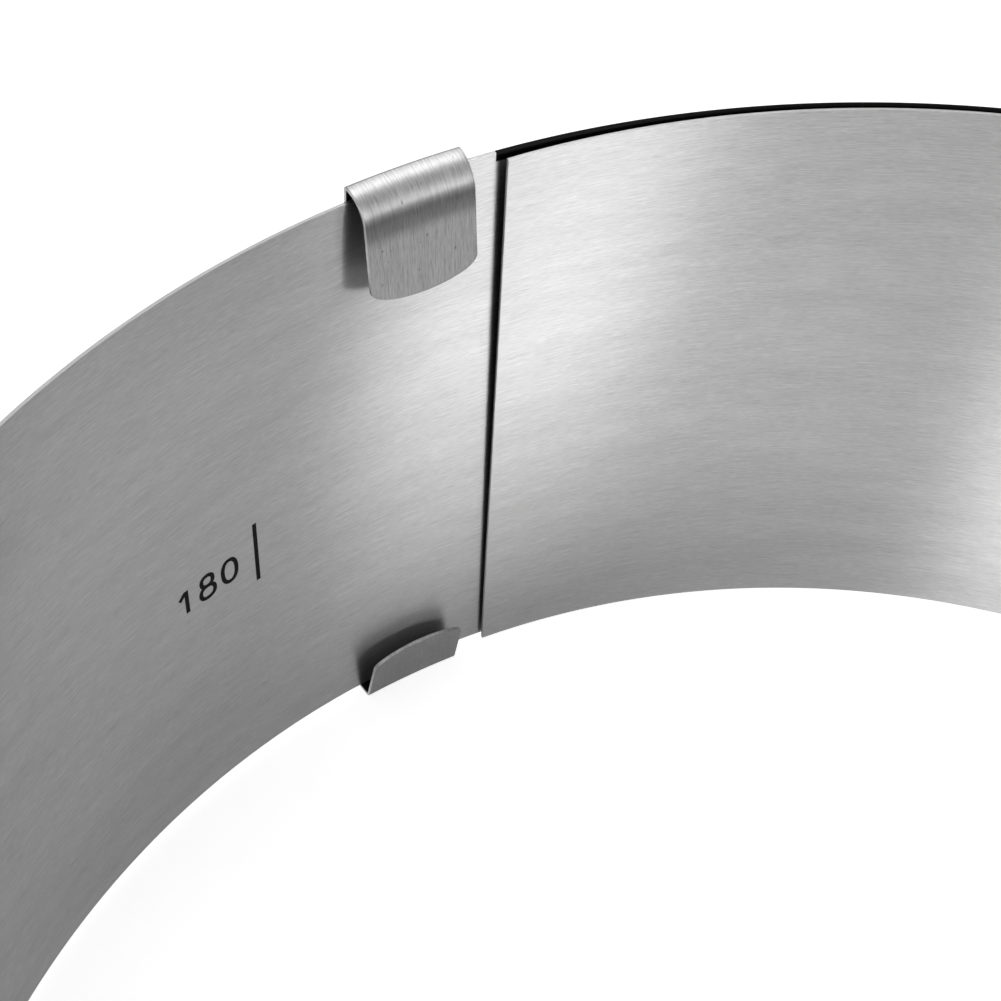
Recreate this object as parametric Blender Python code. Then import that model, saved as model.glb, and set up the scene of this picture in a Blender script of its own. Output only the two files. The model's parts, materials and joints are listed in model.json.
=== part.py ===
"""Adjustable cake ring, modelled in metres with +Z up.

One strip of sprung sheet steel is wound clockwise, seen from above, into one turn and an overlap. Its inner
free end points at the scale. A narrow sheet clamp stands behind the strip with both ends bent over its edges.
The strip is made as equal links. The link in the clamp stays still, and from there each link turns on the
one before it, both ways along the strip, about an upright line between the two.
"""

import math

import bmesh
import bpy
import numpy as np

# Strip
STRIP_HEIGHT = 0.075
STRIP_THICKNESS = 0.0004
LAYER_GAP = 0.0005
SET_DIAMETER = 0.1894
WIDENING = 0.1106
LEAST_OVERLAP = 0.055
END_LIFT = 0.0006
END_LIFT_LENGTH = 0.045
BOTTOM_LIFT_SHARE = 0.1

# Links that let the strip bend
LINK_COUNT = 40
LINK_GAP = 0.0003
FACETS_PER_LINK = 6

# Sliding clamp
CLAMP_SHEET = 0.0004
CLAMP_WIDTH = 0.0122
CLAMP_CLEARANCE = 0.0003
CLAMP_TO_END = 0.0041
TOP_REACH = 0.00135
BOTTOM_REACH = 0.0012
HOOK_CORNER_RADIUS = 0.0003
TOP_ROLL_RADIUS = 0.003
BOTTOM_ROLL_RADIUS = 0.0006
TOP_TONGUE_CLEARANCE = 0.00075
BOTTOM_TONGUE_CLEARANCE = 0.00015
TOP_TONGUE = 0.0094
BOTTOM_TONGUE = 0.0088
TOP_LEAN_ANGLE = math.radians(6.5)
BOTTOM_LEAN_ANGLE = math.radians(12.5)
TIP_DEPTH = 0.0022
TIP_TURN = math.radians(84)
ARC_STEPS = 6
CLAMP_COLUMNS = 8

# Finish
SHARP_EDGE_ANGLE = math.radians(30)
STRIP_COLOUR = (0.62, 0.62, 0.63)
STRIP_ROUGHNESS = 0.28
CLAMP_COLOUR = (0.5, 0.5, 0.51)
CLAMP_ROUGHNESS = 0.3

# Worked out from the sizes above
PITCH = STRIP_THICKNESS + LAYER_GAP
INNER_RADIUS = (SET_DIAMETER - PITCH) / 2
LARGEST_DIAMETER = SET_DIAMETER + WIDENING
STRIP_LENGTH = math.pi * LARGEST_DIAMETER + LEAST_OVERLAP
LINK_LENGTH = STRIP_LENGTH / LINK_COUNT
STRIP_BOTTOM = BOTTOM_REACH
STRIP_TOP = STRIP_BOTTOM + STRIP_HEIGHT
CLAMP_ARC = math.pi * SET_DIAMETER - CLAMP_TO_END - CLAMP_WIDTH / 2
CLAMPED_LINK = int(CLAMP_ARC // LINK_LENGTH) + 1
TONGUE_BASE = STRIP_THICKNESS / 2 + PITCH + CLAMP_SHEET / 2
TOP_INSIDE = TONGUE_BASE + END_LIFT + TOP_TONGUE_CLEARANCE
BOTTOM_INSIDE = TONGUE_BASE + END_LIFT * BOTTOM_LIFT_SHARE + BOTTOM_TONGUE_CLEARANCE


def coil_turn(arc):
    """Angle turned after a length of strip: the spiral whose radius grows by the pitch in each full turn."""
    growth = PITCH / math.pi
    return (np.sqrt(INNER_RADIUS**2 + growth * arc) - INNER_RADIUS) * 2 * math.pi / PITCH


def coil_radius(arc):
    """Radius of the strip's middle surface after a length of strip."""
    return INNER_RADIUS + PITCH * coil_turn(arc) / (2 * math.pi)


# The clamp faces -Y, and the strip winds clockwise from its inner end
FRONT_ANGLE = -math.pi / 2
INNER_END_ANGLE = FRONT_ANGLE + coil_turn(CLAMP_ARC)


def coil_points(arc, offset, height):
    """Points on the strip, the offset counted outwards from its middle surface."""
    angle = INNER_END_ANGLE - coil_turn(arc)
    radius = coil_radius(arc) + offset
    return np.stack([radius * np.cos(angle), radius * np.sin(angle), height + 0 * arc], axis=-1)


def end_lift(arc, share):
    """How far the inner free end stands off inwards: most at its cut edge, less towards the bottom."""
    fade = np.clip(1 - arc / END_LIFT_LENGTH, 0, 1) ** 2
    return END_LIFT * fade * share


def link_mesh(number):
    """A link's rings of four corners, from its inner end to its outer end, with a cap on both."""
    start = (number - 1) * LINK_LENGTH
    end = number * LINK_LENGTH
    if number > 1:
        start += LINK_GAP / 2
    if number < LINK_COUNT:
        end -= LINK_GAP / 2
    arc = np.linspace(start, end, FACETS_PER_LINK + 1)
    half = STRIP_THICKNESS / 2
    corners = [(half, STRIP_BOTTOM), (half, STRIP_TOP), (-half, STRIP_TOP), (-half, STRIP_BOTTOM)]
    shares = {STRIP_BOTTOM: BOTTOM_LIFT_SHARE, STRIP_TOP: 1}
    rows = [coil_points(arc, side - end_lift(arc, shares[height]), height) for side, height in corners]
    points = np.stack(rows, axis=1).reshape(-1, 3)
    faces = []
    for column in range(FACETS_PER_LINK):
        first = 4 * column
        for corner in range(4):
            follow = (corner + 1) % 4
            faces.append((first + corner, first + follow, first + 4 + follow, first + 4 + corner))
    last = 4 * FACETS_PER_LINK
    faces.append((0, 3, 2, 1))
    faces.append((last, last + 1, last + 2, last + 3))
    return points, faces


def hook_path(edge, side, reach, inside, roll_radius, lean, tongue):
    """Middle line of one hook, from the clamp's bar to the tongue's tip, as offset from the strip and height.

    A tight corner turns the bar over the strip's edge, a level run crosses it, and a wider roll turns down
    into the tongue, which leans away from the strip. The side is 1 at the top and -1 at the bottom.
    """
    bar = STRIP_THICKNESS / 2 + CLAMP_CLEARANCE + CLAMP_SHEET / 2
    crest = edge + side * (reach - CLAMP_SHEET / 2)
    turn = math.pi / 2 - lean
    quarter = np.linspace(0, math.pi / 2, ARC_STEPS + 1)
    corner_x = bar - HOOK_CORNER_RADIUS + HOOK_CORNER_RADIUS * np.cos(quarter)
    corner_z = crest - side * HOOK_CORNER_RADIUS * (1 - np.sin(quarter))
    roll = np.linspace(0, turn, ARC_STEPS + 1)
    roll_x = -inside + roll_radius * (math.sin(turn) - np.sin(roll))
    roll_z = crest - side * roll_radius * (1 - np.cos(roll))
    along = tongue - TIP_DEPTH * (1 - np.sin(np.linspace(0, TIP_TURN, ARC_STEPS + 1)))
    tongue_x = -inside - along * math.cos(turn)
    tongue_z = roll_z[-1] - side * along * math.sin(turn)
    line_x = np.concatenate([corner_x, roll_x, tongue_x])
    line_z = np.concatenate([corner_z, roll_z, tongue_z])
    return np.stack([line_x, line_z], axis=1)


def clamp_mesh():
    """The clamp's middle line from tip to tip, given a thickness and a width that ends in half ovals."""
    top = hook_path(STRIP_TOP, 1, TOP_REACH, TOP_INSIDE, TOP_ROLL_RADIUS, TOP_LEAN_ANGLE, TOP_TONGUE)
    bottom = hook_path(
        STRIP_BOTTOM, -1, BOTTOM_REACH, BOTTOM_INSIDE, BOTTOM_ROLL_RADIUS, BOTTOM_LEAN_ANGLE, BOTTOM_TONGUE
    )
    line = np.concatenate([top[::-1], bottom])
    steps = np.linalg.norm(np.diff(line, axis=0), axis=1)
    run = np.concatenate([[0], np.cumsum(steps)])
    from_tip = np.minimum(run, run[-1] - run) + TIP_DEPTH * (1 - math.sin(TIP_TURN))
    inset = 1 - np.minimum(from_tip / TIP_DEPTH, 1)
    half_width = CLAMP_WIDTH / 2 * np.sqrt(1 - inset**2)
    tangent = np.gradient(line, run, axis=0)
    tangent /= np.linalg.norm(tangent, axis=1)[:, None]
    normal = np.stack([-tangent[:, 1], tangent[:, 0]], axis=1)
    across = np.linspace(-1, 1, CLAMP_COLUMNS + 1)
    radius = float(coil_radius(CLAMP_ARC))
    angle = FRONT_ANGLE + half_width[:, None] * across / radius
    sides = []
    for side in (1, -1):
        shifted = line + side * normal * CLAMP_SHEET / 2
        reach = radius + shifted[:, :1]
        height = shifted[:, 1:] + 0 * angle
        sides.append(np.stack([reach * np.cos(angle), reach * np.sin(angle), height], axis=-1).reshape(-1, 3))
    points = np.concatenate(sides)
    rows, columns = angle.shape
    index = np.arange(rows * columns).reshape(rows, columns)
    far = index + rows * columns
    faces = []
    for row in range(rows - 1):
        for column in range(columns - 1):
            corners = [(row, column), (row + 1, column), (row + 1, column + 1), (row, column + 1)]
            faces.append(tuple(int(index[corner]) for corner in corners))
            faces.append(tuple(int(far[corner]) for corner in reversed(corners)))
    border = [*index[0, :-1], *index[:-1, -1], *index[-1, :0:-1], *index[:0:-1, 0]]
    shift = rows * columns
    for one, two in zip(border, border[1:] + border[:1]):
        faces.append((int(one), int(two), int(two) + shift, int(one) + shift))
    return points, faces


def steel(name, colour, roughness):
    """Brushed steel material."""
    material = bpy.data.materials.new(name)
    material.use_nodes = True
    shader = material.node_tree.nodes["Principled BSDF"]
    shader.inputs["Base Color"].default_value = (*colour, 1)
    shader.inputs["Metallic"].default_value = 1
    shader.inputs["Roughness"].default_value = roughness
    return material


def add_piece(name, points, faces, origin, centre, material):
    """One named object with its origin on its own joint's axis."""
    shape = bmesh.new()
    corners = [shape.verts.new(point) for point in points - origin]
    for face in faces:
        shape.faces.new([corners[index] for index in face])
    bmesh.ops.recalc_face_normals(shape, faces=shape.faces)
    mesh = bpy.data.meshes.new(name)
    shape.to_mesh(mesh)
    shape.free()
    mesh.shade_smooth()
    mesh.set_sharp_from_angle(angle=SHARP_EDGE_ANGLE)
    mesh.materials.append(material)
    piece = bpy.data.objects.new(name, mesh)
    piece.location = origin - centre
    bpy.context.collection.objects.link(piece)


def build():
    for old in list(bpy.data.objects):
        bpy.data.objects.remove(old, do_unlink=True)
    pieces = []
    for number in range(1, LINK_COUNT + 1):
        joint_arc = (number if number < CLAMPED_LINK else number - 1) * LINK_LENGTH
        hinge = coil_points(np.float64(joint_arc), 0, STRIP_BOTTOM)
        if number == CLAMPED_LINK:
            hinge = np.array([0, 0, STRIP_BOTTOM])
        pieces.append((f"band_{number:02d}", *link_mesh(number), hinge, STRIP_COLOUR, STRIP_ROUGHNESS))
    axis = np.array([0, 0, STRIP_BOTTOM])
    pieces.append(("edge_clamp", *clamp_mesh(), axis, CLAMP_COLOUR, CLAMP_ROUGHNESS))
    everything = np.concatenate([piece[1] for piece in pieces])
    middle = (everything.min(axis=0) + everything.max(axis=0)) / 2
    centre = np.array([middle[0], middle[1], 0])
    for name, points, faces, origin, colour, roughness in pieces:
        add_piece(name, points, faces, origin, centre, steel(name, colour, roughness))
    bpy.context.view_layer.update()


build()
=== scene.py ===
"""The looks of an adjustable cake ring: a sprung steel strip wound into a ring, its scale and its clamp."""

import json
import math

import bmesh
import bpy
import numpy as np
from mathutils import Matrix, Vector


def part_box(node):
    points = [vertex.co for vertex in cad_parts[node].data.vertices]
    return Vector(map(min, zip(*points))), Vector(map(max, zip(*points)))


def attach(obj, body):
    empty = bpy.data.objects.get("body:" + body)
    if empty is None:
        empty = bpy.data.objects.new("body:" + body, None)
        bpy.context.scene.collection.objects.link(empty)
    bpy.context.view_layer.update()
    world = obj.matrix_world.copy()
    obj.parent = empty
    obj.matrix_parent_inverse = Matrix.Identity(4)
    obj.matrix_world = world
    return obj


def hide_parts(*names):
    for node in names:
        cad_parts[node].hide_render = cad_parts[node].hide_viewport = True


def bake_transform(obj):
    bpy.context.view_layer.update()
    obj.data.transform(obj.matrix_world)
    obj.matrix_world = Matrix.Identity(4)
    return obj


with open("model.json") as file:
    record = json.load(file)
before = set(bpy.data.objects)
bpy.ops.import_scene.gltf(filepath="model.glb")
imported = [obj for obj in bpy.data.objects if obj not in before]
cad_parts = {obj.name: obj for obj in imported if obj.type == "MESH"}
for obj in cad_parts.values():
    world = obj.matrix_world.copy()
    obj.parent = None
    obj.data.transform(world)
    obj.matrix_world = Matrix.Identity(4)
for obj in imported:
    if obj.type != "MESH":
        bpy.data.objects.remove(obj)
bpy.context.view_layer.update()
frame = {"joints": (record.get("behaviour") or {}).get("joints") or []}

# Camera
# It looks down over the near wall at the inside of the far one, where the clamp and the inner end are.
CAMERA_PLACE = Vector((0.071164, 0.029706, 0.193495))
VIEW_AZIMUTH = math.radians(-123.859)
VIEW_ELEVATION = math.radians(-48.495)
CAMERA_ROLL = math.radians(3.229)
LENS_MM = 70.23
SENSOR_MM = 36
NEAREST_SEEN = 0.005

forward = Vector((math.cos(VIEW_ELEVATION) * math.cos(VIEW_AZIMUTH),
                  math.cos(VIEW_ELEVATION) * math.sin(VIEW_AZIMUTH), math.sin(VIEW_ELEVATION)))
level = forward.cross(Vector((0, 0, 1))).normalized()
upward = level.cross(forward)
right = level * math.cos(CAMERA_ROLL) + upward * math.sin(CAMERA_ROLL)
camera_up = right.cross(forward)
camera_turn = Matrix((right, camera_up, -forward)).transposed().to_4x4()
camera_data = bpy.data.cameras.new("camera")
camera_data.lens = LENS_MM
camera_data.sensor_width = SENSOR_MM
camera_data.clip_start = NEAREST_SEEN
camera = bpy.data.objects.new("camera", camera_data)
camera.matrix_world = Matrix.Translation(CAMERA_PLACE) @ camera_turn
bpy.context.scene.collection.objects.link(camera)
bpy.context.scene.camera = camera


# Strip
# One long band of sprung stainless sheet, brushed along its length, with plain cut edges. It winds clockwise
# into a turn and an overlap, and its inner end stands off a little. Each piece of it spans one joint. Its
# colour holds painted light: deep painted shade on the outer face of the inner end, over the gap behind it,
# and on the edges and the top rim from the overlap on, a painted highlight on the other edges, and painted
# shade that darkens the rest of the outer face against the lamps' highlights.
STRIP_THICKNESS = 0.0004
LAYER_GAP = 0.0005
SET_DIAMETER = 0.1894
LARGEST_DIAMETER = 0.300
LEAST_OVERLAP = 0.055
LINK_COUNT = 40
CLAMP_WIDTH = 0.0122
CLAMP_TO_END = 0.0041
END_LIFT = 0.0006
END_LIFT_LENGTH = 0.045
BOTTOM_LIFT_SHARE = 0.1
EDGE_ROUNDING = 0.00005
# Height of the rim below the top edge that carries painted shade from the overlap on, and of its border
RIM_HEIGHT = 0.001
RIM_FADE = 0.0001

# How finely the strip is drawn, and the thin columns at a piece's ends that keep its shading in line with
# the next one's
COLUMNS_PER_PIECE = 26
FACE_ROWS = 12
ROUND_POINTS = 4
SLIVER = 0.00002
SMOOTH_ANGLE = math.radians(40)

# Painted light: brightness of the faces and edges against the steel's own colour, a painted highlight on
# the edges and painted shade on the outer face, and how far the deep painted shade reaches
STRIP_COLOUR = (0.62, 0.62, 0.62)
INSIDE_BRIGHTNESS = 1.0
OUTSIDE_PAINTED_SHADE = 0.8
EDGE_PAINTED_HIGHLIGHT = 1.2
GAP_PAINTED_SHADE = 0.05
GAP_PAINTED_SHADE_LENGTH = 0.048
GAP_PAINTED_SHADE_FADE = 0.004
LAP_PAINTED_SHADE = 0.02
LAP_PAINTED_SHADE_LEAD = 0.0006

# Brushing: how often each pattern repeats in a metre along the grain and across it
LONG_SCRATCHES = (240, 7000)
SHORT_SCRATCHES = (900, 11000)
CLOUDS = (40, 300)
SPECKS = (900, 2600)
CLOUD_CONTRAST = 0.18
SPECK_START = 0.79
SPECK_FULL = 0.84
SCRATCH_ROUGHNESS = 0.12
SCRATCH_DEPTH = 0.00001
QUARTER_TURN = 0.25

strip_low, strip_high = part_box("band_12")
STRIP_BOTTOM = strip_low.z
STRIP_TOP = strip_high.z
slide = next(joint for joint in frame["joints"] if joint["name"] == "clamp_slide")
COIL_AXIS = np.array(slide["pos_m"][:2])
PITCH = STRIP_THICKNESS + LAYER_GAP
INNER_RADIUS = (SET_DIAMETER - PITCH) / 2
LINK_LENGTH = (math.pi * LARGEST_DIAMETER + LEAST_OVERLAP) / LINK_COUNT
CLAMP_ARC = math.pi * SET_DIAMETER - CLAMP_TO_END - CLAMP_WIDTH / 2


def coil_turn(arc):
    """Angle turned after a length of strip: the spiral whose radius grows by the pitch in each full turn."""
    growth = PITCH / math.pi
    return (np.sqrt(INNER_RADIUS**2 + growth * arc) - INNER_RADIUS) * 2 * math.pi / PITCH


FRONT_ANGLE = -math.pi / 2
INNER_END_ANGLE = FRONT_ANGLE + coil_turn(CLAMP_ARC)


def strip_points(arc, offset, height):
    """Points on the strip: the angle falls as the coil turns, and the radius is the spiral's, plus the
    offset counted outwards, less the lift that fades as the square of the distance from the inner end."""
    up = (height - STRIP_BOTTOM) / (STRIP_TOP - STRIP_BOTTOM)
    share = BOTTOM_LIFT_SHARE + (1 - BOTTOM_LIFT_SHARE) * up
    lift = END_LIFT * share * np.clip(1 - arc / END_LIFT_LENGTH, 0, 1) ** 2
    angle = INNER_END_ANGLE - coil_turn(arc)
    radius = INNER_RADIUS + PITCH * coil_turn(arc) / (2 * math.pi) + offset - lift
    x = COIL_AXIS[0] + radius * np.cos(angle)
    y = COIL_AXIS[1] + radius * np.sin(angle)
    return np.stack([x, y, height + 0 * angle], axis=-1)


def edge_profile(low, high, thickness, rounding, rows, rim=None):
    """Once round a sheet's edge-on section, as offsets and heights: up the outside, a quarter round at each
    of the four corners, and down the inside. Where there is a rim, the band below the top edge that carries
    painted shade, the last two rows below the top lie at its lower border."""
    half = thickness / 2
    quarter = np.linspace(0, math.pi / 2, ROUND_POINTS)
    side = np.linspace(low + rounding, high - rounding, rows + 1)[1:-1]
    if rim:
        side[-2:] = high - rim - RIM_FADE, high - rim
    corners = [(half, high, 0), (-half, high, 1), (-half, low, 2), (half, low, 3)]
    parts = []
    for x, z, turn in corners:
        centre_x = x - math.copysign(rounding, x)
        centre_z = z - rounding if z == high else z + rounding
        angle = quarter + turn * math.pi / 2
        parts.append(np.stack([centre_x + rounding * np.cos(angle), centre_z + rounding * np.sin(angle)], 1))
    down = np.stack([np.full(rows - 1, -half), side[::-1]], 1)
    up = np.stack([np.full(rows - 1, half), side], 1)
    return np.concatenate([up, parts[0], parts[1], down, parts[2], parts[3]])


def between(first, second, share):
    """The first value, moved towards the second by a share of their difference."""
    return first + (second - first) * share


def section_shade(rows, outside, inside, edge, rim=None):
    """Painted shade and highlight once round an edge-on section, against the steel's own colour: its two
    faces, and the sheared edges, which it reaches over the quarter rounds. The inside's rim below the top
    edge can have its own painted shade."""
    mix = np.linspace(0, 1, ROUND_POINTS)
    if rim is None:
        rim = inside
    from_outside = between(outside, edge, mix)
    from_inside = between(inside, edge, mix)
    to_rim = between(edge, rim, mix)
    up = np.full(rows - 1, outside)
    down = np.full(rows - 1, inside)
    down[0] = rim
    return np.concatenate([up, from_outside, to_rim, down, from_inside, from_outside[::-1]])


def swept_mesh(name, rings, u, v, shade=1):
    """A closed tube through equal rings of points, with a cap on both ends, a UV map of the given distances,
    in metres, along and across it, and its painted shade and highlight as a point attribute."""
    count, size, _ = rings.shape
    mesh = bpy.data.meshes.new(name)
    first = np.arange(count - 1)[:, None] * size + np.arange(size)[None, :]
    second = np.arange(count - 1)[:, None] * size + (np.arange(size)[None, :] + 1) % size
    quads = np.stack([first, first + size, second + size, second], axis=-1).reshape(-1, 4)
    caps = [list(range(size)), list(range(count * size - 1, (count - 1) * size - 1, -1))]
    mesh.from_pydata(rings.reshape(-1, 3).tolist(), [], quads.tolist() + caps)
    loops = np.zeros(len(mesh.loops), np.int64)
    mesh.loops.foreach_get("vertex_index", loops)
    layer = mesh.uv_layers.new(name="along_across")
    flat_u = np.broadcast_to(u, (count, size)).reshape(-1)
    flat_v = np.broadcast_to(v, (count, size)).reshape(-1)
    layer.data.foreach_set("uv", np.stack([flat_u[loops], flat_v[loops]], 1).reshape(-1).astype(np.float32))
    painted_light = mesh.attributes.new("painted_shade_and_highlight", "FLOAT", "POINT")
    flat_shade = np.broadcast_to(shade, (count, size)).reshape(-1)
    painted_light.data.foreach_set("value", flat_shade.astype(np.float32))
    shape = bmesh.new()
    shape.from_mesh(mesh)
    bmesh.ops.recalc_face_normals(shape, faces=shape.faces)
    shape.to_mesh(mesh)
    shape.free()
    mesh.shade_smooth()
    mesh.set_sharp_from_angle(angle=SMOOTH_ANGLE)
    piece = bpy.data.objects.new(name, mesh)
    bpy.context.scene.collection.objects.link(piece)
    return piece


def add_node(tree, kind, at, **inputs):
    """One shader node at a place in the tree, with the sockets named given their values."""
    node = tree.nodes.new(kind)
    node.location = at
    for name, value in inputs.items():
        node.inputs[name.replace("_", " ")].default_value = value
    return node


def add_math(tree, operation, at, second=None, third=None):
    """One maths node, with the values of its second and third sockets where they are given."""
    node = add_node(tree, "ShaderNodeMath", at)
    node.operation = operation
    if second is not None:
        node.inputs[1].default_value = second
    if third is not None:
        node.inputs[2].default_value = third
    return node


def stretched_noise(group, place, repeats, detail, roughness, row):
    """Flat noise on the piece's own distances, with its number of repeats along and across the grain."""
    stretch = add_node(group, "ShaderNodeMapping", (-800, row), Scale=(*repeats, 1))
    noise = add_node(group, "ShaderNodeTexNoise", (-600, row), Scale=1, Detail=detail, Roughness=roughness)
    noise.noise_dimensions = "2D"
    group.links.new(place.outputs["UV"], stretch.inputs["Vector"])
    group.links.new(stretch.outputs["Vector"], noise.inputs["Vector"])
    return noise.outputs["Fac"]


def make_grain_group():
    """Brushing: fine scratches of two lengths from stretched noise, broad cloudy bands, and rare specks. The
    pattern lies on the piece's own distances, so it turns with the sheet."""
    group = bpy.data.node_groups.new("brushed_grain", "ShaderNodeTree")
    group.interface.new_socket("Scratch Contrast", in_out="INPUT", socket_type="NodeSocketFloat")
    for name in ("Tone", "Scratch", "Speck"):
        group.interface.new_socket(name, in_out="OUTPUT", socket_type="NodeSocketFloat")
    links = group.links
    start = add_node(group, "NodeGroupInput", (-1200, 0))
    end = add_node(group, "NodeGroupOutput", (600, 0))
    place = add_node(group, "ShaderNodeUVMap", (-1200, -200))
    centred = []
    for row, repeats in enumerate([LONG_SCRATCHES, SHORT_SCRATCHES, CLOUDS]):
        noise = stretched_noise(group, place, repeats, detail=3, roughness=0.6, row=-260 * row)
        about_zero = add_math(group, "SUBTRACT", (-400, -260 * row), 0.5)
        links.new(noise, about_zero.inputs[0])
        centred.append(about_zero.outputs[0])
    both = add_math(group, "ADD", (-200, 0))
    links.new(centred[0], both.inputs[0])
    links.new(centred[1], both.inputs[1])
    scaled = add_math(group, "MULTIPLY", (0, 0))
    links.new(both.outputs[0], scaled.inputs[0])
    links.new(start.outputs["Scratch Contrast"], scaled.inputs[1])
    cloud = add_math(group, "MULTIPLY_ADD", (0, -300), CLOUD_CONTRAST)
    links.new(centred[2], cloud.inputs[0])
    links.new(scaled.outputs[0], cloud.inputs[2])
    tone = add_math(group, "ADD", (200, 0), 1)
    links.new(cloud.outputs[0], tone.inputs[0])
    speck_noise = stretched_noise(group, place, SPECKS, detail=1, roughness=0.5, row=-800)
    speck = add_node(group, "ShaderNodeMapRange", (-200, -800), From_Min=SPECK_START, From_Max=SPECK_FULL)
    links.new(speck_noise, speck.inputs["Value"])
    links.new(tone.outputs[0], end.inputs["Tone"])
    links.new(both.outputs[0], end.inputs["Scratch"])
    links.new(speck.outputs[0], end.inputs["Speck"])
    return group


grain_group = make_grain_group()


def brushed_steel(name, colour, roughness, anisotropy, contrast, bump, specks):
    """Bare steel whose gloss is drawn out across the brushing, toned and roughened by the grain. Its colour
    is multiplied by the mesh's painted shade and highlight: brighter on sheared edges, darker where painted
    shade lies."""
    material = bpy.data.materials.new(name)
    material.use_nodes = True
    tree = material.node_tree
    links = tree.links
    shader = tree.nodes["Principled BSDF"]
    shader.inputs["Metallic"].default_value = 1
    shader.inputs["Anisotropic"].default_value = anisotropy
    shader.inputs["Anisotropic Rotation"].default_value = QUARTER_TURN
    grain = tree.nodes.new("ShaderNodeGroup")
    grain.node_tree = grain_group
    grain.location = (-900, 0)
    grain.inputs["Scratch Contrast"].default_value = contrast
    tangent = add_node(tree, "ShaderNodeTangent", (-300, -500))
    tangent.direction_type = "UV_MAP"
    tangent.uv_map = "along_across"
    links.new(tangent.outputs["Tangent"], shader.inputs["Tangent"])
    # Painted shade and highlight, read from the mesh, scale the base colour
    painted_light = add_node(tree, "ShaderNodeAttribute", (-900, 300))
    painted_light.attribute_name = "painted_shade_and_highlight"
    speckled = add_math(tree, "MULTIPLY_ADD", (-700, 200), -specks)
    links.new(grain.outputs["Speck"], speckled.inputs[0])
    links.new(grain.outputs["Tone"], speckled.inputs[2])
    shaded = add_math(tree, "MULTIPLY", (-600, 350))
    links.new(speckled.outputs[0], shaded.inputs[0])
    links.new(painted_light.outputs["Fac"], shaded.inputs[1])
    toned = add_node(tree, "ShaderNodeVectorMath", (-400, 200))
    toned.operation = "SCALE"
    toned.inputs[0].default_value = colour
    links.new(shaded.outputs[0], toned.inputs["Scale"])
    links.new(toned.outputs["Vector"], shader.inputs["Base Color"])
    rough = add_math(tree, "MULTIPLY_ADD", (-500, -100), SCRATCH_ROUGHNESS, roughness)
    links.new(grain.outputs["Scratch"], rough.inputs[0])
    links.new(rough.outputs[0], shader.inputs["Roughness"])
    relief = add_node(tree, "ShaderNodeBump", (-300, -250), Strength=bump, Distance=SCRATCH_DEPTH)
    links.new(grain.outputs["Scratch"], relief.inputs["Height"])
    links.new(relief.outputs["Normal"], shader.inputs["Normal"])
    return material


strip_steel = brushed_steel("strip_steel", STRIP_COLOUR, roughness=0.5, anisotropy=1.0,
                            contrast=0.5, bump=0.3, specks=0)

strip_section = edge_profile(STRIP_BOTTOM, STRIP_TOP, STRIP_THICKNESS, EDGE_ROUNDING, FACE_ROWS, RIM_HEIGHT)
section_steps = np.linalg.norm(np.diff(strip_section, axis=0, prepend=strip_section[:1]), axis=1)
lap_start = math.pi * SET_DIAMETER - LAP_PAINTED_SHADE_LEAD


def strip_piece(name, start, end):
    """A stretch of the strip: rings of its section at even steps of length, with a thin step at both ends,
    and one where the overlap's painted shade starts."""
    inner = np.linspace(start, end, COLUMNS_PER_PIECE + 1)[1:-1]
    arc = np.concatenate([[start, start + SLIVER], inner, [end - SLIVER, end]])
    if start < lap_start < end:
        arc = np.sort(np.append(arc, [lap_start - SLIVER, lap_start]))
    rings = strip_points(arc[:, None], strip_section[None, :, 0], strip_section[None, :, 1])
    # Painted shade: deep on the outer face of the inner end, over the gap behind it, and on the edges and
    # top rim from the overlap on; lighter over the rest of the outer face. The other edges carry a painted
    # highlight.
    gap_shade_share = np.clip((GAP_PAINTED_SHADE_LENGTH - arc) / GAP_PAINTED_SHADE_FADE, 0, 1)
    lapped = (arc > lap_start - SLIVER / 2).astype(float)
    outside = between(OUTSIDE_PAINTED_SHADE, GAP_PAINTED_SHADE, gap_shade_share)
    edges = between(EDGE_PAINTED_HIGHLIGHT, LAP_PAINTED_SHADE, lapped)
    rims = between(INSIDE_BRIGHTNESS, LAP_PAINTED_SHADE, lapped)
    shade = np.array([section_shade(FACE_ROWS, face, INSIDE_BRIGHTNESS, edge, rim)
                      for face, edge, rim in zip(outside, edges, rims)])
    piece = swept_mesh(name, rings, arc[:, None], np.cumsum(section_steps)[None, :], shade)
    piece.data.materials.append(strip_steel)
    return piece


def middle_of(number):
    """The point in the middle of a link, on its middle surface, and the length of strip up to it."""
    arc = (number - 0.5) * LINK_LENGTH
    point = strip_points(np.float64(arc), 0, (STRIP_BOTTOM + STRIP_TOP) / 2)
    return arc, tuple(float(value) for value in point)


inner_end = strip_piece("strip_inner_end", 0, middle_of(1)[0])
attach(inner_end, "band_01")
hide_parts("band_01")
for number in range(1, LINK_COUNT):
    here_arc, here = middle_of(number)
    next_arc, there = middle_of(number + 1)
    stretch = strip_piece(f"strip_{number:02d}", here_arc, next_arc)
    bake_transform(stretch)
    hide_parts(f"band_{number + 1:02d}")
outer_end = strip_piece("strip_outer_end", middle_of(LINK_COUNT)[0], LINK_COUNT * LINK_LENGTH)
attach(outer_end, f"band_{LINK_COUNT}")


# Scale
# Burnt into the inner face with a laser: a tick for each diameter, and the plain number to its left. A tick
# lies the diameter times pi from the inner end, which points at it.
SCALE_DIAMETERS = [0.160, 0.180, 0.200, 0.220, 0.240, 0.260, 0.280, 0.300]
TICK_HEIGHT = 0.009
TICK_MIDDLE = 0.0344
STROKE_WIDTH = 0.0005
DIGIT_HEIGHT = 0.0038
DIGIT_MIDDLE = 0.0343
DIGIT_SPACING = 0.0030
LAST_DIGIT_TO_TICK = 0.0036
MARK_STAND = 0.00001
MARK_DEPTH = 0.00002
STRAIGHT_POINTS = 5

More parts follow.
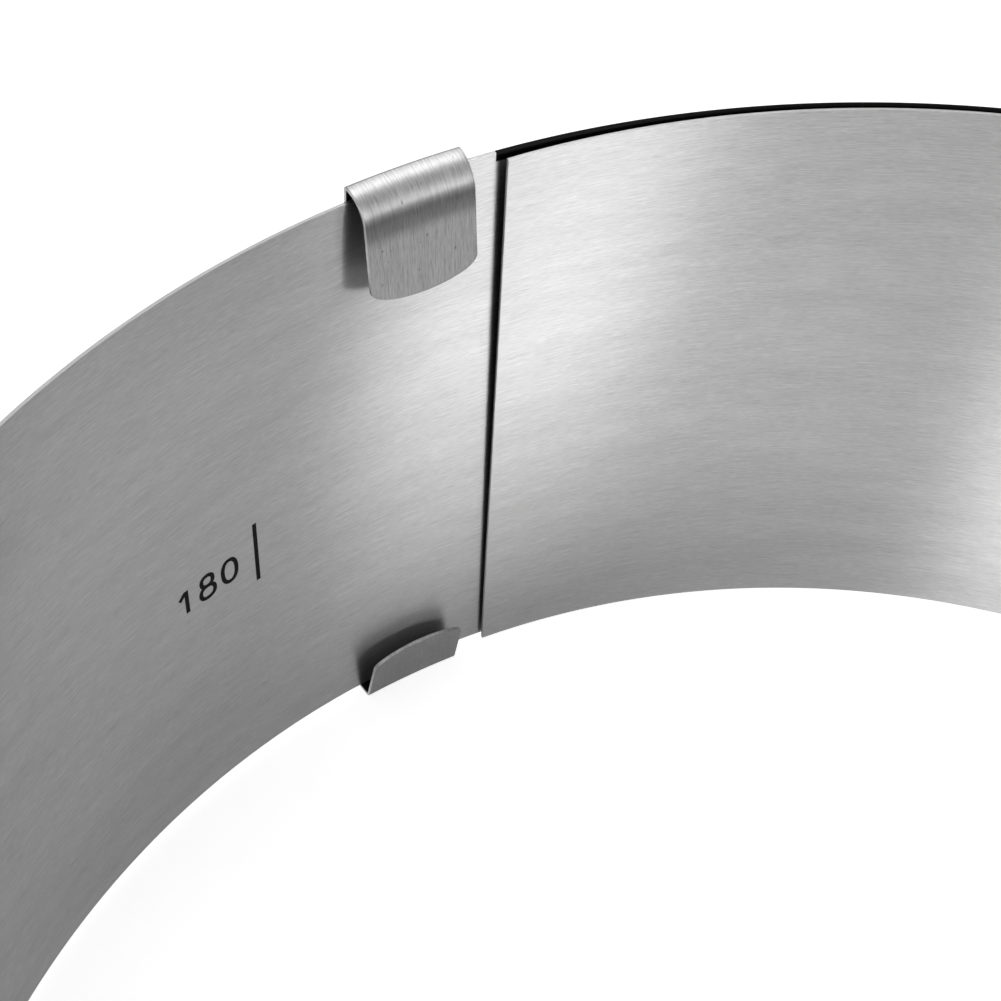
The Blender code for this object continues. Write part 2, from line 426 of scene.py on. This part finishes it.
# Finish: matt black with a fine burnt grain between two tones
MARK_ROUGHNESS = 0.9
MARK_GLOSS = 0.1
BURN_GRAIN = 4000
BURN_DARKEST = 0.002
BURN_LIGHTEST = 0.012


def oval(centre_x, centre_y, radius_x, radius_y, start=90, end=450, steps=40, power=2.3):
    """Points along a squared-off oval, from one angle to another, in degrees: the cosine and sine are raised
    to 2 over the power, with their signs kept."""
    angle = np.radians(np.linspace(start, end, steps + 1))
    cosine, sine = np.cos(angle), np.sin(angle)
    x = centre_x + radius_x * np.sign(cosine) * np.abs(cosine) ** (2 / power)
    y = centre_y + radius_y * np.sign(sine) * np.abs(sine) ** (2 / power)
    return np.stack([x, y], 1)


def straight(*corners):
    """Points along straight strokes through the corners, close enough to follow the strip's curve."""
    corners = np.array(corners, float)
    pieces = [np.linspace(one, two, STRAIGHT_POINTS) for one, two in zip(corners[:-1], corners[1:])]
    return np.concatenate([pieces[0]] + [piece[1:] for piece in pieces[1:]])


# Middle lines of the digits' strokes, in shares of the digit's height
DIGIT_STROKES = {
    "0": [oval(0, 0.5, 0.24, 0.44)],
    "1": [straight((-0.2, 0.68), (0.02, 0.9)), straight((0.05, 0.94), (0.05, 0.03))],
    "2": [np.concatenate([oval(0, 0.68, 0.25, 0.26, 160, -35, 16), straight((-0.26, 0.06), (0.28, 0.06))])],
    "3": [oval(-0.02, 0.72, 0.23, 0.22, 150, -90, 20), oval(-0.02, 0.28, 0.26, 0.23, 90, -150, 20)],
    "4": [straight((0.28, 0.28), (-0.28, 0.28), (0.12, 0.94), (0.12, 0.03))],
    "6": [oval(0.01, 0.3, 0.25, 0.24), oval(0.1, 0.5, 0.34, 0.44, 95, 190, 14)],
    "8": [oval(0, 0.73, 0.2, 0.21), oval(0, 0.28, 0.25, 0.24)],
}


def mark_rings(line, arc, height):
    """A stroke as rings of four corners along its middle line, laid just proud of the strip's inner face."""
    along = np.gradient(line, axis=0)
    along /= np.linalg.norm(along, axis=1)[:, None]
    side = np.stack([-along[:, 1], along[:, 0]], 1) * STROKE_WIDTH / 2
    near, far = line + side, line - side
    face = -STRIP_THICKNESS / 2
    sunk = face + MARK_STAND
    proud = face - MARK_STAND - MARK_DEPTH
    rings = [strip_points(arc + edge[:, 0], offset, height + edge[:, 1])
             for edge, offset in ((near, sunk), (near, proud), (far, proud), (far, sunk))]
    return np.stack(rings, axis=1)


scale_black = bpy.data.materials.new("scale_black")
scale_black.use_nodes = True
scale_tree = scale_black.node_tree
scale_shader = scale_tree.nodes["Principled BSDF"]
scale_shader.inputs["Roughness"].default_value = MARK_ROUGHNESS
scale_shader.inputs["Specular IOR Level"].default_value = MARK_GLOSS
burn_place = add_node(scale_tree, "ShaderNodeTexCoord", (-800, 0))
burn = add_node(scale_tree, "ShaderNodeTexNoise", (-600, 0), Scale=BURN_GRAIN, Detail=2)
burn_tone = add_node(scale_tree, "ShaderNodeMapRange", (-300, 0), To_Min=BURN_DARKEST, To_Max=BURN_LIGHTEST)
scale_tree.links.new(burn_place.outputs["Object"], burn.inputs["Vector"])
scale_tree.links.new(burn.outputs["Fac"], burn_tone.inputs["Value"])
scale_tree.links.new(burn_tone.outputs["Result"], scale_shader.inputs["Base Color"])


def scale_mark(name, strokes, arc, height):
    """One glyph: its strokes joined into a mesh, on the stretch of strip where it lies."""
    parts = []
    for order, line in enumerate(strokes):
        rings = mark_rings(line, arc, height)
        parts.append(swept_mesh(f"{name}_{order}", rings, np.zeros((1, 1)), np.zeros((1, 1))))
    if len(parts) > 1:
        with bpy.context.temp_override(active_object=parts[0], selected_editable_objects=parts):
            bpy.ops.object.join()
    glyph = parts[0]
    glyph.name = name
    glyph.data.materials.append(scale_black)
    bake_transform(glyph)


tick = straight((0, -TICK_HEIGHT / 2), (0, TICK_HEIGHT / 2))
digit_base = STRIP_BOTTOM + DIGIT_MIDDLE - DIGIT_HEIGHT / 2
for diameter in SCALE_DIAMETERS:
    tick_arc = math.pi * diameter
    label = f"{diameter * 1000:.0f}"
    scale_mark(f"scale_{label}_tick", [tick], tick_arc, STRIP_BOTTOM + TICK_MIDDLE)
    for place, digit in enumerate(reversed(label)):
        digit_arc = tick_arc - LAST_DIGIT_TO_TICK - place * DIGIT_SPACING
        strokes = [line * DIGIT_HEIGHT for line in DIGIT_STROKES[digit]]
        scale_mark(f"scale_{label}_digit_{len(label) - place}", strokes, digit_arc, digit_base)


# Sliding clamp
# A narrow bar of thin sheet steel behind the strip. Both ends are bent over the strip's edges to the inside,
# where they end in rounded tongues. It is cut from sheet whose grain runs up the bar.
CLAMP_SHEET = 0.0004
CLAMP_CLEARANCE = 0.0003
TOP_REACH = 0.00135
BOTTOM_REACH = 0.0012
HOOK_CORNER_RADIUS = 0.0003
TOP_ROLL_RADIUS = 0.003
BOTTOM_ROLL_RADIUS = 0.0006
TOP_TONGUE_CLEARANCE = 0.00075
BOTTOM_TONGUE_CLEARANCE = 0.00015
TOP_TONGUE = 0.0094
BOTTOM_TONGUE = 0.0088
TOP_LEAN_ANGLE = math.radians(6.5)
BOTTOM_LEAN_ANGLE = math.radians(12.5)
TIP_DEPTH = 0.0022
TIP_TURN = math.radians(84)
CLAMP_EDGE_ROUNDING = 0.00006
TONGUE_BASE = STRIP_THICKNESS / 2 + PITCH + CLAMP_SHEET / 2

# How finely the clamp is drawn along each stretch, and across
CORNER_POINTS = 11
ROLL_POINTS = 25
TONGUE_POINTS = 12
TIP_POINTS = 20
BAR_POINTS = 20
CLAMP_ROWS = 16

# Painted light: brightness at distances from the top tongue's tip, then from the bottom tongue's. Painted
# shade lies under the top bend, a painted highlight over it, and painted shade again on the bottom tongue.
# The inside is dark with painted shade, the top tongue's tip edges carry painted shade, and the other edges
# a painted highlight.
CLAMP_COLOUR = (0.44, 0.44, 0.44)
# Painted shade on the clamp's inside, dark as the gap it faces
CLAMP_INSIDE_PAINTED_SHADE = 0.08
TOP_PAINTED_LIGHT = [(0.0070, 1), (0.0080, 0.6), (0.0092, 0.42), (0.0102, 0.4),
              (0.0108, 0.65), (0.0113, 1.05), (0.0127, 1.9), (0.0140, 1.35)]
BOTTOM_PAINTED_SHADE = [(0.0095, 1), (0.0088, 0.58)]
# Painted shade on the top tongue's tip edges, then a painted highlight on the edges beyond
CLAMP_EDGE_PAINTED_LIGHT = [(0.002, 0.4), (0.004, 1.5)]


def hook_line(edge, side, reach, inside, roll_radius, lean, tongue):
    """Middle line of one hook, from the bar to the tongue's tip, as offset and height: a tight quarter
    round, a level run over the strip's edge, a wider round down into the tongue, and the leaning tongue."""
    bar = STRIP_THICKNESS / 2 + CLAMP_CLEARANCE + CLAMP_SHEET / 2
    crest = edge + side * (reach - CLAMP_SHEET / 2)
    turn = math.pi / 2 - lean
    quarter = np.linspace(0, math.pi / 2, CORNER_POINTS)
    corner_x = bar - HOOK_CORNER_RADIUS + HOOK_CORNER_RADIUS * np.cos(quarter)
    corner_z = crest - side * HOOK_CORNER_RADIUS * (1 - np.sin(quarter))
    roll = np.linspace(0, turn, ROLL_POINTS)
    roll_x = -inside + roll_radius * (math.sin(turn) - np.sin(roll))
    roll_z = crest - side * roll_radius * (1 - np.cos(roll))
    flat = np.linspace(0, tongue - TIP_DEPTH, TONGUE_POINTS)[1:-1]
    rounding = tongue - TIP_DEPTH * (1 - np.sin(np.linspace(0, TIP_TURN, TIP_POINTS)))
    along = np.concatenate([flat, rounding])
    tongue_x = -inside - along * math.cos(turn)
    tongue_z = roll_z[-1] - side * along * math.sin(turn)
    line_x = np.concatenate([corner_x, roll_x, tongue_x])
    line_z = np.concatenate([corner_z, roll_z, tongue_z])
    return np.stack([line_x, line_z], 1)


top_inside = TONGUE_BASE + END_LIFT + TOP_TONGUE_CLEARANCE
bottom_inside = TONGUE_BASE + END_LIFT * BOTTOM_LIFT_SHARE + BOTTOM_TONGUE_CLEARANCE
top_hook = hook_line(STRIP_TOP, 1, TOP_REACH, top_inside, TOP_ROLL_RADIUS, TOP_LEAN_ANGLE, TOP_TONGUE)
bottom_hook = hook_line(STRIP_BOTTOM, -1, BOTTOM_REACH, bottom_inside, BOTTOM_ROLL_RADIUS,
                        BOTTOM_LEAN_ANGLE, BOTTOM_TONGUE)
bar_line = np.linspace(top_hook[0], bottom_hook[0], BAR_POINTS)[1:-1]
clamp_line = np.concatenate([top_hook[::-1], bar_line, bottom_hook])
clamp_run = np.concatenate([[0], np.cumsum(np.linalg.norm(np.diff(clamp_line, axis=0), axis=1))])
from_tip = np.minimum(clamp_run, clamp_run[-1] - clamp_run) + TIP_DEPTH * (1 - math.sin(TIP_TURN))
clamp_half = CLAMP_WIDTH / 2 * np.sqrt(1 - (1 - np.minimum(from_tip / TIP_DEPTH, 1)) ** 2)
clamp_tangent = np.gradient(clamp_line, clamp_run, axis=0)
clamp_tangent /= np.linalg.norm(clamp_tangent, axis=1)[:, None]
clamp_normal = np.stack([-clamp_tangent[:, 1], clamp_tangent[:, 0]], 1)


def clamp_rings():
    """Rings along the clamp's middle line: the sheet's section, with small rounds at its edges, set square
    to the line, as wide as the outline is there, and wrapped to the strip's curve."""
    section = edge_profile(-1, 1, CLAMP_SHEET, CLAMP_EDGE_ROUNDING, CLAMP_ROWS)
    thick = section[:, 0]
    edge_in = 1 - np.abs(section[:, 1])
    wide = np.sign(section[:, 1]) * (clamp_half[:, None] - edge_in)
    straight_side = edge_in > CLAMP_EDGE_ROUNDING
    wide[:, straight_side] = section[straight_side, 1] * (clamp_half[:, None] - CLAMP_EDGE_ROUNDING)
    at = clamp_line[:, None, :] + clamp_normal[:, None, :] * thick[None, :, None]
    clamp_radius = INNER_RADIUS + PITCH * coil_turn(CLAMP_ARC) / (2 * math.pi)
    angle = FRONT_ANGLE + wide / clamp_radius
    radius = clamp_radius + at[..., 0]
    x = COIL_AXIS[0] + radius * np.cos(angle)
    y = COIL_AXIS[1] + radius * np.sin(angle)
    return np.stack([x, y, at[..., 1]], axis=-1), wide


clamp_steel = brushed_steel("clamp_steel", CLAMP_COLOUR, roughness=0.48, anisotropy=0.2,
                            contrast=0.7, bump=0.4, specks=0.5)
rings, across = clamp_rings()
# Painted shade and highlight along the clamp's faces and edges; the tips' caps take the edges' value
face_painted_light = TOP_PAINTED_LIGHT + [(clamp_run[-1] - back, brightness) for back, brightness in BOTTOM_PAINTED_SHADE]
clamp_faces = np.interp(clamp_run, *zip(*face_painted_light))
clamp_edges = np.interp(clamp_run, *zip(*CLAMP_EDGE_PAINTED_LIGHT))
clamp_shade = np.array([section_shade(CLAMP_ROWS, face, CLAMP_INSIDE_PAINTED_SHADE, edge)
                        for face, edge in zip(clamp_faces, clamp_edges)])
clamp_shade[0] = clamp_edges[0]
clamp_shade[-1] = clamp_edges[-1]
clamp = swept_mesh("clamp_sheet", rings, clamp_run[:, None] + 0 * across, across, clamp_shade)
clamp.data.materials.append(clamp_steel)
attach(clamp, "edge_clamp")
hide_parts("edge_clamp")


# Floor and light
# A white sheet under the ring, in a dim room. Soft boxes stand low round the far side of it, and the
# brushing spreads each into an upright column of light on the wall. Two more, higher up, light the cut edges
# and the top bend.
FLOOR_HALF = 3.0
FLOOR_TONE = 0.8
FIBRE_CONTRAST = 0.02
FIBRE_GRAIN = 900
FLOOR_GLOW_SEEN = 0.75
FLOOR_GLOW_MIRRORED = 0.31
ROOM_TONE = 0.26

# Each lamp's place, width, height and power
LAMPS = {
    "lamp_column": ((-0.317, 1.298, 0.418), 0.55, 0.31, 8.6),
    "lamp_middle": ((0.278, 1.279, 0.496), 0.59, 0.25, 2.9),
    "lamp_right": ((0.859, 0.927, 0.601), 0.40, 0.41, 8.6),
    "lamp_left": ((-0.974, 0.926, 0.392), 0.63, 0.38, 1.55),
    "lamp_edges": ((-0.62, -0.92, 0.95), 0.8, 0.6, 1.8),
    "lamp_above": ((-0.25, -0.45, 1.30), 0.5, 0.5, 3.3),
}

floor_mesh = bpy.data.meshes.new("floor")
floor_corners = [(x * FLOOR_HALF, y * FLOOR_HALF, 0) for x, y in ((-1, -1), (1, -1), (1, 1), (-1, 1))]
floor_mesh.from_pydata(floor_corners, [], [(0, 1, 2, 3)])
floor = bpy.data.objects.new("floor", floor_mesh)
bpy.context.scene.collection.objects.link(floor)

paper = bpy.data.materials.new("paper")
paper.use_nodes = True
paper_tree = paper.node_tree
paper_shader = paper_tree.nodes["Principled BSDF"]
paper_shader.inputs["Roughness"].default_value = 1.0
paper_shader.inputs["Specular IOR Level"].default_value = 0.0
paper_shader.inputs["Emission Color"].default_value = (1, 1, 1, 1)
paper_seen = add_node(paper_tree, "ShaderNodeLightPath", (-900, 0))
paper_place = add_node(paper_tree, "ShaderNodeTexCoord", (-1100, 300))
paper_fibre = add_node(paper_tree, "ShaderNodeTexNoise", (-900, 300), Scale=FIBRE_GRAIN, Detail=3)
paper_tone = add_node(paper_tree, "ShaderNodeMapRange", (-500, 200),
                      To_Min=FLOOR_TONE - FIBRE_CONTRAST, To_Max=FLOOR_TONE + FIBRE_CONTRAST)
mirrored_glow = add_math(paper_tree, "MULTIPLY", (-600, -150), FLOOR_GLOW_MIRRORED)
paper_glow = add_math(paper_tree, "MULTIPLY_ADD", (-400, -150), FLOOR_GLOW_SEEN)
paper_tree.links.new(paper_place.outputs["Object"], paper_fibre.inputs["Vector"])
paper_tree.links.new(paper_fibre.outputs["Fac"], paper_tone.inputs["Value"])
paper_tree.links.new(paper_seen.outputs["Is Glossy Ray"], mirrored_glow.inputs[0])
paper_tree.links.new(paper_seen.outputs["Is Camera Ray"], paper_glow.inputs[0])
paper_tree.links.new(mirrored_glow.outputs["Value"], paper_glow.inputs[2])
paper_tree.links.new(paper_tone.outputs["Result"], paper_shader.inputs["Base Color"])
paper_tree.links.new(paper_glow.outputs["Value"], paper_shader.inputs["Emission Strength"])
floor_mesh.materials.append(paper)

world = bpy.data.worlds.new("studio")
bpy.context.scene.world = world
world.use_nodes = True
world_tree = world.node_tree
world_light = world_tree.nodes["Background"]
world_light.inputs["Color"].default_value = (1, 1, 1, 1)
world_seen = add_node(world_tree, "ShaderNodeLightPath", (-600, 0))
room = add_node(world_tree, "ShaderNodeMapRange", (-300, 0), To_Min=ROOM_TONE, To_Max=1.0)
world_tree.links.new(world_seen.outputs["Is Camera Ray"], room.inputs["Value"])
world_tree.links.new(room.outputs["Result"], world_light.inputs["Strength"])

for name, (place, width, height, power) in LAMPS.items():
    lamp_data = bpy.data.lights.new(name, "AREA")
    lamp_data.shape = "RECTANGLE"
    lamp_data.size = width
    lamp_data.size_y = height
    lamp_data.energy = power
    lamp = bpy.data.objects.new(name, lamp_data)
    lamp.location = place
    lamp.rotation_euler = (-Vector(place)).to_track_quat("-Z", "Y").to_euler()
    bpy.context.scene.collection.objects.link(lamp)

bpy.context.scene.view_settings.view_transform = "Standard"
